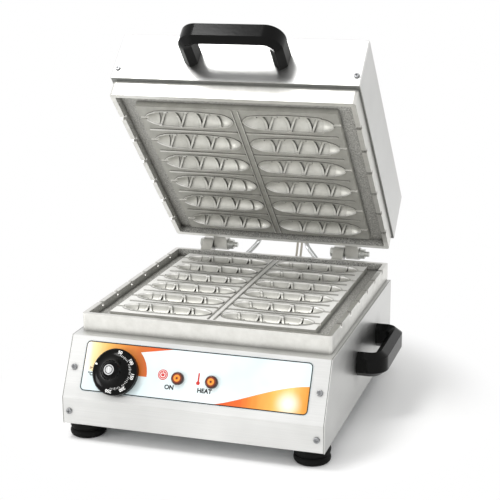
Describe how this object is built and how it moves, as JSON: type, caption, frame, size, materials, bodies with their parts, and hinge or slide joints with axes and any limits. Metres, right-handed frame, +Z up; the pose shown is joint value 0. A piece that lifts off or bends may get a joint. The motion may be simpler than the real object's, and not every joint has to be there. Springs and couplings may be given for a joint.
{
  "type": "crepe cone maker",
  "caption": "Countertop crepe cone maker: hinged lid and base with facing cast plates of boat-shaped cavities, a temperature dial, pilot lamps and bridge handles.",
  "frame": {"origin": "middle of the whole outline, on the worktop under the feet, with the lid open", "axes": "+X to the right seen from the front, +Y towards the hinge, +Z up"},
  "size_m": [0.416, 0.486, 0.5088],
  "materials": {
    "brushed_sheet": "brushed stainless sheet",
    "plain_sheet": "plain galvanised sheet",
    "cast_plate": "sand-cast, rubbed bright on the ribs",
    "heater_tube": "heat-tinted tube",
    "heater_ceramic": "glazed ceramic",
    "zinc_hardware": "zinc-plated",
    "mineral_wool": "felted wool",
    "black_handle": "glossy moulded",
    "black_dial": "satin moulded",
    "silver_cap": "satin silver",
    "amber_lens": "clear amber",
    "lamp_housing": "moulded",
    "label_film": "printed film",
    "black_rubber": "moulded",
    "stop_rod": "drawn rod, welded feet",
    "grey_nylon": "moulded",
    "lead_sleeve": "braided glass sleeve",
    "thermostat_case": "pressed",
    "copper_line": "drawn",
    "plated_shaft": "turned"
  },
  "bodies": {
    "base": {"body_cover": "brushed_sheet", "front_panel": "brushed_sheet", "rear_panel": "brushed_sheet", "bottom_pan": "plain_sheet", "lower_heat_shield": "plain_sheet", "lower_element_clamp": "plain_sheet", "lower_plate": "cast_plate", "lower_heating_element": "heater_tube", "lower_element_terminals": "heater_ceramic", "lower_clamp_studs": "zinc_hardware", "lower_clamp_nuts": "zinc_hardware", "lower_plate_bolts": "zinc_hardware", "panel_screws": "zinc_hardware", "foot_screws": "zinc_hardware", "foot_nuts": "zinc_hardware", "hinge_bolts": "zinc_hardware", "hinge_washers": "zinc_hardware", "hinge_nuts": "zinc_hardware", "side_handle_screws": "zinc_hardware", "lid_stop_screws": "zinc_hardware", "thermostat_nut": "zinc_hardware", "lower_insulation": "mineral_wool", "side_handle_right": "black_handle", "side_handle_left": "black_handle", "lamp_lenses": "amber_lens", "lamp_bodies": "lamp_housing", "panel_label": "label_film", "foot_front_left": "black_rubber", "foot_rear_left": "black_rubber", "foot_front_right": "black_rubber", "foot_rear_right": "black_rubber", "base_grommets": "black_rubber", "lid_stop": "stop_rod", "cable_gland": "grey_nylon", "gland_nut": "grey_nylon", "terminal_block": "grey_nylon", "lid_leads": "lead_sleeve", "base_leads": "lead_sleeve", "thermostat_body": "thermostat_case", "temperature_sensor": "copper_line"},
    "lid": {"upper_plate": "cast_plate", "upper_heating_element": "heater_tube", "upper_element_terminals": "heater_ceramic", "upper_element_clamp": "plain_sheet", "upper_clamp_studs": "zinc_hardware", "upper_clamp_nuts": "zinc_hardware", "upper_insulation": "mineral_wool", "upper_heat_shield": "plain_sheet", "upper_plate_bolts": "zinc_hardware", "lid_cover": "brushed_sheet", "lid_base": "plain_sheet", "lid_screws": "zinc_hardware", "lid_handle": "black_handle", "lid_handle_screws": "zinc_hardware", "lid_grommets": "black_rubber", "upper_heater_leads": "lead_sleeve"},
    "dial_knob": {"dial": "black_dial", "dial_cap": "silver_cap", "thermostat_shaft": "plated_shaft"}
  },
  "joints": [
    {"name": "lid_hinge", "type": "hinge", "parent": "base", "child": "lid", "pos_m": [0, 0.18939, 0.1545], "axis": [1, 0, 0], "range_deg": [0, 46], "deforming": ["lid_leads"]},
    {"name": "dial_turn", "type": "hinge", "parent": "base", "child": "dial_knob", "pos_m": [-0.101, -0.21505, 0.08957], "axis": [0, 0.8803, -0.4745], "range_deg": [0, 270]}
  ]
}
